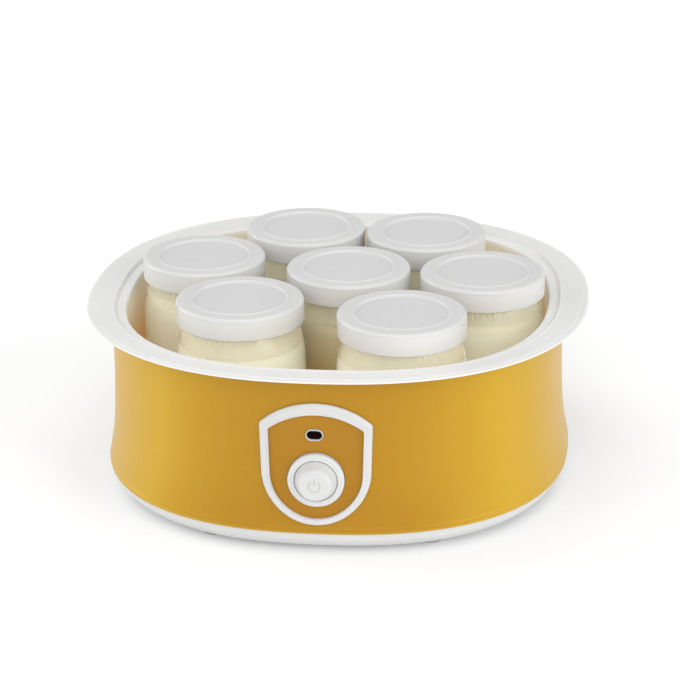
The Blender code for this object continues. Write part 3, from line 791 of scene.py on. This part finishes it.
def tub_section(half):
    """The same for the tub, whose oval goes over into the flange's."""
    share = min(max((half - TUB_OPENING_HALF) / (FLANGE_HALF - TUB_OPENING_HALF), 0.0), 1.0)
    ratio = TUB_DEPTH_RATIO + share * (FLANGE_DEPTH_RATIO - TUB_DEPTH_RATIO)
    exponent = TUB_EXPONENT + share * (FLANGE_EXPONENT - TUB_EXPONENT)
    return half * MM, half * ratio * MM, exponent


def oval_shell(name, profile, section, material, hollow):
    """A shell swept round ovals that grow and shrink along a profile."""
    bm = bmesh.new()
    rings = [oval_ring(bm, *section(half), height * MM) for half, height in rounded(profile)]
    stack(bm, rings, hollow)
    return finish_mesh(name, bm, material, (0, BODY_Y, 0))


def lathe_mesh(bm, path, segments, closed=False):
    """Turns a path of (radius, height) in millimetres round Z."""
    rings = []
    for radius, height in path:
        if radius < 1e-6:
            rings.append([bm.verts.new((0, 0, height * MM))])
            continue
        ring = []
        for step in range(segments):
            angle = 2 * math.pi * step / segments
            x, y = radius * MM * math.cos(angle), radius * MM * math.sin(angle)
            ring.append(bm.verts.new((x, y, height * MM)))
        rings.append(ring)
    pairs = list(zip(rings, rings[1:]))
    if closed:
        pairs.append((rings[-1], rings[0]))
    for first, second in pairs:
        if len(first) == 1 or len(second) == 1:
            tip, ring = (first[0], second) if len(first) == 1 else (second[0], first)
            for step in range(segments):
                bm.faces.new((tip, ring[step], ring[(step + 1) % segments]))
        else:
            bridge(bm, first, second)


def lathe(name, profile, material, location, segments=96, closed=False, facing=None, steps=5):
    """A turned piece, standing up, or lying with its top towards the front or the back."""
    bm = bmesh.new()
    lathe_mesh(bm, rounded(profile, steps), segments, closed)
    if facing:
        turn = math.pi / 2 if facing == "front" else -math.pi / 2
        bmesh.ops.rotate(bm, cent=(0, 0, 0), matrix=Matrix.Rotation(turn, 3, "X"), verts=bm.verts)
    return finish_mesh(name, bm, material, location)


def plain_rod(name, radius, front, back, material, place, facing):
    """A straight round rod for cutting holes, its ends at two distances along the way it faces."""
    profile = ((0, front, 0), (radius, front, 0), (radius, back, 0), (0, back, 0))
    return lathe(name, profile, material, place, facing=facing)


def outer_half(height):
    """The casing's outer half width at a height, both in millimetres."""
    for (upper_half, upper, _), (lower_half, lower, _) in zip(CASING_OUTSIDE, CASING_OUTSIDE[1:]):
        if height >= lower:
            share = (height - lower) / (upper - lower)
            return lower_half + share * (upper_half - lower_half)
    return CASING_OUTSIDE[-1][0]


def on_front(across, height, proud):
    """A point on the casing's front, moved out by proud. All in millimetres."""
    half_x = outer_half(height) + proud
    half_y = outer_half(height) * BODY_DEPTH_RATIO + proud
    depth = half_y * (1 - abs(across / half_x) ** BODY_EXPONENT) ** (1 / BODY_EXPONENT)
    return Vector((across, -depth, height)) * MM


def shield_outline(corner_half, waist_half, top, arch, round_centre, round_depth):
    """Points (across, up) round a shield, its corners lightly rounded."""
    arch_centre = top - arch
    side_top = arch_centre + math.sqrt(arch**2 - corner_half**2)
    swing = math.asin(corner_half / arch)
    path = []
    for step in range(ARCH_STEPS + 1):
        angle = -swing + 2 * swing * step / ARCH_STEPS
        path.append((arch * math.sin(angle), arch_centre + arch * math.cos(angle)))
    right_side = []
    for step in range(1, SIDE_STEPS):
        share = step / SIDE_STEPS
        across = corner_half + (waist_half - corner_half) * share
        right_side.append((across, side_top + (round_centre - side_top) * share))
    path += right_side
    for step in range(ROUND_STEPS + 1):
        angle = math.pi * step / ROUND_STEPS
        path.append((waist_half * math.cos(angle), round_centre - round_depth * math.sin(angle)))
    path += [(-across, up) for across, up in reversed(right_side)]
    softer = []
    for index, point in enumerate(path):
        before, after = path[index - 1], path[(index + 1) % len(path)]
        softer.append(tuple((before[k] + 2 * point[k] + after[k]) / 4 for k in (0, 1)))
    return softer


def shield_slab(name, shape, front, back, material):
    """A filled shield that follows the casing's front between two offsets."""
    bm = bmesh.new()
    outline = shield_outline(*shape)
    middle_x, middle_z = SHIELD_MIDDLE
    loops = []
    for proud in (front, back):
        rings = []
        for share in (1.0, 0.985, 0.8, 0.6, 0.4, 0.2):
            spots = []
            for x, z in outline:
                spots.append((middle_x + share * (x - middle_x), middle_z + share * (z - middle_z)))
            rings.append([bm.verts.new(on_front(x, z, proud)) for x, z in spots])
        tip = bm.verts.new(on_front(middle_x, middle_z, proud))
        for first, second in zip(rings, rings[1:]):
            bridge(bm, first, second)
        for step in range(len(outline)):
            bm.faces.new((tip, rings[-1][step], rings[-1][(step + 1) % len(outline)]))
        loops.append(rings[0])
    bridge(bm, loops[0], loops[1])
    return finish_mesh(name, bm, material, (0, BODY_Y, 0))


def oblong_path(half_length, radius, steps=12):
    """Points (across, up) round a bar with round ends."""
    spots = []
    for side in (1, -1):
        for step in range(steps + 1):
            angle = math.pi * step / steps - math.pi / 2
            across = half_length - radius + radius * math.cos(angle)
            spots.append((side * across, side * radius * math.sin(angle)))
    return spots


def oblong_stack(name, sections, material, place, hollow):
    """Oblong outlines stacked along -Y: each is (half length, radius, distance out), in millimetres."""
    bm = bmesh.new()
    loops = []
    for half_length, radius, out in sections:
        outline = oblong_path(half_length, radius)
        loops.append([bm.verts.new((x * MM, -out * MM, z * MM)) for x, z in outline])
    stack(bm, loops, hollow)
    return finish_mesh(name, bm, material, place)


def applied_mesh(obj):
    """A new mesh of the object as it is with its modifiers or as a curve's tube."""
    bpy.context.view_layer.update()
    graph = bpy.context.evaluated_depsgraph_get()
    return bpy.data.meshes.new_from_object(obj.evaluated_get(graph))


def cut(target, cutter, operation="DIFFERENCE"):
    """Applies a Boolean and removes the cutter."""
    change = target.modifiers.new("cut", "BOOLEAN")
    change.object = cutter
    change.operation = operation
    change.solver = "EXACT"
    mesh = applied_mesh(target)
    target.modifiers.clear()
    old = target.data
    target.data = mesh
    mesh.name = target.name
    bpy.data.meshes.remove(old)
    bpy.data.objects.remove(cutter)
    target.data.shade_smooth()
    target.data.set_sharp_from_angle(angle=math.radians(40))


def tube(name, places, radius, material, resolution=8):
    """A round wire through places, in metres."""
    curve = bpy.data.curves.new(name, "CURVE")
    curve.dimensions = "3D"
    curve.bevel_depth = radius
    curve.bevel_resolution = resolution
    curve.use_fill_caps = True
    spline = curve.splines.new("POLY")
    spline.points.add(len(places) - 1)
    for point, place in zip(spline.points, places):
        point.co = (*place, 1.0)
    spline.use_smooth = True
    raw = bpy.data.objects.new(name, curve)
    bpy.context.scene.collection.objects.link(raw)
    mesh = applied_mesh(raw)
    bpy.data.objects.remove(raw)
    mesh.materials.clear()
    mesh.materials.append(material)
    obj = bpy.data.objects.new(name, mesh)
    bpy.context.scene.collection.objects.link(obj)
    return obj


def soft_path(places, steps=8):
    """A smooth path through places (Catmull-Rom)."""
    points = [Vector(place) for place in places]
    points = [2 * points[0] - points[1]] + points + [2 * points[-1] - points[-2]]
    path = []
    for a, b, c, d in zip(points, points[1:], points[2:], points[3:]):
        for step in range(steps):
            t = step / steps
            bend = (2 * a - 5 * b + 4 * c - d) * t**2
            twist = (3 * b - a - 3 * c + d) * t**3
            path.append(0.5 * ((2 * b) + (c - a) * t + bend + twist))
    path.append(points[-2])
    return path


def stand_for(piece, body, slot, *nodes):
    """Puts a piece on its body and hides the CAD nodes it stands for. The slot, the record's finish, is not
    used.
    """
    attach(piece, body)
    if nodes:
        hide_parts(*nodes)


# -------- the warmer
def soft_block(name, corners, material):
    """A block between two corners measured from the body's middle, its edges bevelled."""
    bm = bmesh.new()
    bmesh.ops.create_cube(bm, size=1.0)
    for vert in bm.verts:
        vert.co = [low if side < 0 else high for side, low, high in zip(vert.co, *corners)]
    bmesh.ops.bevel(bm, geom=bm.edges[:], offset=NICHE_BEVEL, segments=4, affect="EDGES", profile=0.5)
    return finish_mesh(name, bm, material, (0, BODY_Y, 0))


def build_shells():
    casing = oval_shell("casing_shell", CASING_OUTSIDE + CASING_INSIDE, body_section, YELLOW, hollow=True)
    cut(casing, shield_slab("opening_cutter", OPENING, 4.0, -6.0, YELLOW))
    cord_exit = (0, BODY_Y + CORD_HOLE_MIDDLE, CORD_HEIGHT)
    cut(casing, plain_rod("cord_cutter", CORD_HOLE_RADIUS, 8, -8, YELLOW, cord_exit, "back"))
    stand_for(casing, "warmer", "casing_yellow", "outer_casing")

    tub = oval_shell("tub_shell", TUB_PROFILE, tub_section, TUB_WHITE, hollow=False)
    cut(tub, soft_block("niche_block", NICHE_BLOCK, TUB_WHITE), "UNION")
    cut(tub, soft_block("niche_pocket", NICHE_POCKET, TUB_WHITE))
    stand_for(tub, "warmer", "white_plastic", "inner_tub")

    base = oval_shell("base_shell", BASE_PROFILE, body_section, BASE_WHITE_BRIGHTENED, hollow=False)
    stand_for(base, "warmer", "white_plastic", "base_cover")

    for number in range(1, 5):
        spot = centre_of(f"foot_{number}")
        foot = lathe(f"foot_pad_{number}", FOOT_PROFILE, RUBBER, (spot.x, spot.y, 0), 48)
        stand_for(foot, "warmer", "foot_rubber", f"foot_{number}")


def build_shield():
    bm = bmesh.new()
    outer, inner = shield_outline(*BEZEL_OUTER), shield_outline(*BEZEL_INNER)
    loops = []
    for share, proud in BEZEL_SECTION:
        spots = [(a[0] + share * (b[0] - a[0]), a[1] + share * (b[1] - a[1])) for a, b in zip(outer, inner)]
        loops.append([bm.verts.new(on_front(x, z, proud)) for x, z in spots])
    stack(bm, loops, hollow=True)
    bezel = finish_mesh("shield_bezel", bm, WHITE, (0, BODY_Y, 0))
    stand_for(bezel, "warmer", "white_plastic", "control_bezel")

    panel = shield_slab("shield_panel", PANEL, -0.1, -2.1, PANEL_YELLOW)
    button_hole = (0, BODY_Y - COLLAR_HOLE_MIDDLE, BUTTON.z)
    cut(panel, plain_rod("collar_cutter", COLLAR_HOLE_RADIUS, 14, -6, PANEL_YELLOW, button_hole, "front"))
    cut(panel, oblong_stack("lamp_cutter", LAMP_HOLE, PANEL_YELLOW, INDICATOR_PLACE, hollow=False))
    stand_for(panel, "warmer", "panel_yellow", "control_panel")


def build_indicator():
    rim = oblong_stack("indicator_surround", SURROUND_SECTIONS, RIM_GREY, INDICATOR_PLACE, hollow=True)
    stand_for(rim, "warmer", "indicator_rim", "indicator_bezel")
    lens = oblong_stack("indicator_window", WINDOW_SECTIONS, LENS, INDICATOR_PLACE, hollow=False)
    stand_for(lens, "warmer", "indicator_red", "indicator_lens")


def build_button():
    place = (0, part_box("button_collar")[1][1], BUTTON.z)
    collar = lathe("button_ring", COLLAR_PROFILE, COLLAR_WHITE_BRIGHTENED, place, 128, closed=True, facing="front")
    stand_for(collar, "warmer", "white_plastic", "button_collar")
    place = (0, BODY_Y - BUTTON_SEAT, BUTTON.z)
    button = lathe("button_cap", BUTTON_PROFILE, WHITE, place, 128, facing="front", steps=8)
    stand_for(button, "power_button", "white_plastic", "power_button")


def build_spring():
    """The button's return spring."""
    back = BODY_Y - SPRING_BACK
    steps = SPRING_TURNS * SPRING_STEPS
    coil = []
    for step in range(steps + 1):
        angle = 2 * math.pi * step / SPRING_STEPS
        across, up = SPRING_RADIUS * math.cos(angle), SPRING_RADIUS * math.sin(angle)
        coil.append((across, back - SPRING_LENGTH * step / steps, BUTTON.z + up))
    spring = tube("return_spring", coil, SPRING_WIRE, SPRING_STEEL, 4)
    stand_for(spring, "warmer", "spring_steel", "button_spring")
    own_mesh(spring)


def build_power_symbol():
    front = BODY_Y - BUTTON_SEAT - SYMBOL_PROUD
    arc = []
    for step in range(SYMBOL_STEPS + 1):
        angle = math.radians(90 + SYMBOL_GAP / 2 + (360 - SYMBOL_GAP) * step / SYMBOL_STEPS)
        across, up = SYMBOL_RADIUS * math.cos(angle), SYMBOL_RADIUS * math.sin(angle)
        arc.append((across, front, BUTTON.z + up - SYMBOL_DROP))
    stroke = []
    for step in range(STROKE_PLACES):
        stroke.append((0, front, BUTTON.z + (STROKE_FOOT + STROKE_STEP * step) * MM))
    for name, places in (("power_mark_ring", arc), ("power_mark_stroke", stroke)):
        stand_for(tube(name, places, SYMBOL_LINE, MARK_GREY, 4), "power_button", "white_plastic")


def cord_places():
    """The cord's middle line, measured from the body's middle."""
    places = list(CORD_FROM_BODY)
    side = 1
    for near, far in zip(CORD_ROWS, CORD_ROWS[1:]):
        middle, radius = (near + far) / 2, (far - near) / 2
        places.append((side * CORD_STRAIGHT, near, CORD_ON_TABLE))
        for step in range(TURN_STEPS + 1):
            angle = math.pi * step / TURN_STEPS
            across = side * (CORD_REACH + radius * math.sin(angle))
            places.append((across, middle - radius * math.cos(angle), CORD_ON_TABLE))
        side = -side
    return places + [(across, CORD_ROWS[-1], up) for across, up in CORD_TO_PLUG]


def build_cord():
    exit_place = (0, BODY_Y + RELIEF_SEAT, CORD_HEIGHT)
    relief = lathe("cord_relief", RELIEF_PROFILE, CORD, exit_place, 64, closed=True, facing="back")
    stand_for(relief, "warmer", "cord_white", "strain_relief")

    path = [Vector((x, y + BODY_Y, z)) for x, y, z in soft_path(cord_places())]
    stand_for(tube("mains_cord", path, CORD_RADIUS, CORD), "warmer", "cord_white", "power_cord")

    bm = bmesh.new()
    loops = []
    for along, half_width, half_height in PLUG_SECTIONS:
        outline = oval_points(PLUG_STEPS, half_width, half_height, PLUG_EXPONENT)
        loops.append([bm.verts.new((along * MM, y * MM, z * MM)) for y, z in outline])
    stack(bm, loops, hollow=False)
    plug = finish_mesh("mains_plug", bm, CORD, (0, BODY_Y + CORD_ROWS[-1], PLUG_HEIGHT))
    stand_for(plug, "warmer", "cord_white", "plug_body")


# -------- the jars
def mark_jar(number, spot, floor):
    """A few plain raised bars moulded on the shoulder, joined into one piece."""
    bars = []
    for step in range(MARK_BARS):
        angle = math.radians(-90 + MARK_ANGLES[number - 1] + MARK_STEP * (step - MARK_BARS // 2))
        foot = MARK_FEET[step % 2]
        places = []
        for height in (MARK_TOP, (MARK_TOP + foot) / 2, foot):
            radius = (SHOULDER_RADIUS + (SHOULDER_HEIGHT - height) * SHOULDER_SLOPE) * MM
            across, deep = radius * math.cos(angle), radius * math.sin(angle)
            places.append((spot.x + across, spot.y + deep, floor + height * MM))
        bars.append(tube(f"mark_{number}_{step}", places, MARK_RADIUS, GLASS, 3))
    bm = bmesh.new()
    for bar in bars:
        bm.from_mesh(bar.data)
        bpy.data.objects.remove(bar)
    marks = finish_mesh(f"jar_mark_{number}", bm, GLASS)
    stand_for(marks, f"jar_{number}", "jar_glass")


def inside_radius(height):
    """The jar's inner radius at a height, both in millimetres."""
    for (lower_radius, lower, _), (upper_radius, upper, _) in zip(JAR_INSIDE, JAR_INSIDE[1:]):
        if lower < height <= upper:
            return lower_radius + (upper_radius - lower_radius) * (height - lower) / (upper - lower)
    return JAR_INSIDE[-1][0]


def yogurt_profile(level):
    """The yogurt's section for a fill level: a flat top that climbs a little where it meets the glass."""
    edge = inside_radius(level)
    top = [
        (0.0, level - 1.4, 0.0),
        (16.0, level - 1.3, 0.0),
        (edge - 0.85, level - 1.1, 1.2),
        (edge + 0.1, level, 0.2),
    ]
    if level > GLASS_BEND:
        top.append(YOGURT_AT_BEND)
    return top + list(YOGURT_PROFILE)


def build_jars():
    for number, level in enumerate(FILL_LEVELS, start=1):
        jar_name, lid_name = f"jar_{number}", f"lid_{number}"
        spot = centre_of(jar_name)
        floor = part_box(jar_name)[0][2]
        lid_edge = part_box(lid_name)[0][2]
        foot = (spot.x, spot.y, floor)
        jar = lathe(f"glass_jar_{number}", JAR_INSIDE + JAR_OUTSIDE, GLASS, foot)
        stand_for(jar, jar_name, "jar_glass", jar_name)
        fill = lathe(f"yogurt_fill_{number}", yogurt_profile(level), YOGURT, foot)
        stand_for(fill, jar_name, "yogurt", f"yogurt_{number}")
        mark_jar(number, spot, floor)
        lid = lathe(f"snap_lid_{number}", LID_PROFILE, LID_WHITE, (spot.x, spot.y, lid_edge), 128)
        stand_for(lid, lid_name, "lid_white", lid_name)


# -------- inner parts keep their CAD shape
def repaint_inner_parts():
    finishes = {
        "plug_pin_1": NICKEL,
        "plug_pin_2": NICKEL,
        "heating_plate": bare_metal("plate_aluminium", (0.74, 0.75, 0.76), 0.35, (1.0, 20.0, 1.0)),
        "heater_element": bare_metal("heater_sheath", (0.30, 0.27, 0.25), 0.45),
        "thermal_fuse": bare_metal("fuse_case", (0.72, 0.68, 0.55), 0.3),
        "thermostat": moulded("thermostat_black", (0.035, 0.033, 0.03), 0.45),
        "terminal_block": moulded("block_cream", (0.66, 0.63, 0.52), 0.5),
        "switch_body": moulded("switch_black", (0.02, 0.02, 0.02), 0.4),
        "control_board": moulded("board_green", (0.02, 0.13, 0.04), 0.35, tint=0.25),
        "indicator_lamp": moulded("lamp_red", (0.5, 0.04, 0.03), 0.25),
        "lead_live": moulded("lead_brown", (0.16, 0.05, 0.02), 0.45),
        "lead_neutral": moulded("lead_blue", (0.02, 0.08, 0.36), 0.45),
    }
    for number in range(1, 5):
        finishes[f"base_screw_{number}"] = STEEL
    for node, material in finishes.items():
        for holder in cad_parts[node].material_slots:
            holder.material = material


# -------- studio
def build_floor():
    bm = bmesh.new()
    bmesh.ops.create_grid(bm, x_segments=2, y_segments=2, size=FLOOR_HALF)
    material, tree, shader = new_material("studio_floor")
    where = object_coordinates(tree)
    shade = mix_colour(tree, noise(tree, where, 3.0), (0.89, 0.89, 0.89), (0.91, 0.91, 0.91))
    tree.links.new(shade, shader.inputs["Base Color"])
    shader.inputs["Emission Color"].default_value = (1.0, 1.0, 1.0, 1.0)
    shader.inputs["Emission Strength"].default_value = 0.09
    shader.inputs["Roughness"].default_value = 0.9
    shader.inputs["Specular IOR Level"].default_value = 0.1
    finish_mesh("studio_floor", bm, material)


def light_world():
    """A plain white world that the camera sees at full strength."""
    world = bpy.data.worlds.new("studio")
    bpy.context.scene.world = world
    world.use_nodes = True
    tree = world.node_tree
    background = tree.nodes["Background"]
    background.inputs["Color"].default_value = (1.0, 1.0, 1.0, 1.0)
    seen = light_path(tree, "Is Camera Ray")
    tree.links.new(remap(tree, seen, 0.0, 1.0, WORLD_STRENGTH, 1.0), background.inputs["Strength"])


def hang_lamp(light, place, direction):
    lamp = bpy.data.objects.new(light.name, light)
    lamp.location = place
    lamp.rotation_euler = direction.to_track_quat("-Z", "Y").to_euler()
    bpy.context.scene.collection.objects.link(lamp)


def hang_lamps():
    for name, azimuth, elevation, spread, strength in SUNS:
        light = bpy.data.lights.new(name, "SUN")
        light.angle = math.radians(spread)
        light.energy = strength
        turn, rise = math.radians(azimuth), math.radians(elevation)
        toward = Vector((math.sin(turn) * math.cos(rise), -math.cos(turn) * math.cos(rise), math.sin(rise)))
        hang_lamp(light, toward * SUN_DISTANCE, -toward)
    for name, place in SOFTBOXES:
        light = bpy.data.lights.new(name, "AREA")
        light.shape = "RECTANGLE"
        light.size = SOFTBOX_WIDTH
        light.size_y = SOFTBOX_HEIGHT
        light.energy = SOFTBOX_WATTS
        hang_lamp(light, place, SOFTBOX_TARGET - Vector(place))


def place_camera():
    data = bpy.data.cameras.new("camera")
    data.lens = CAMERA_LENS
    data.sensor_width = 36.0
    data.shift_x = -CAMERA_SHIFT
    data.shift_y = CAMERA_SHIFT
    data.clip_end = 50.0
    camera = bpy.data.objects.new("camera", data)
    right = CAMERA_FORWARD.cross(CAMERA_UP).normalized()
    up = right.cross(CAMERA_FORWARD).normalized()
    turn = Matrix((right, up, -CAMERA_FORWARD.normalized())).transposed()
    place = CAMERA_FROM_BODY + Vector((0, BODY_Y, 0))
    camera.matrix_world = Matrix.Translation(place) @ turn.to_4x4()
    bpy.context.scene.collection.objects.link(camera)
    bpy.context.scene.camera = camera
    bpy.context.scene.view_settings.view_transform = "Standard"


build_shells()
build_shield()
build_indicator()
build_button()
build_spring()
build_power_symbol()
build_cord()
build_jars()
repaint_inner_parts()
build_floor()
light_world()
hang_lamps()
place_camera()
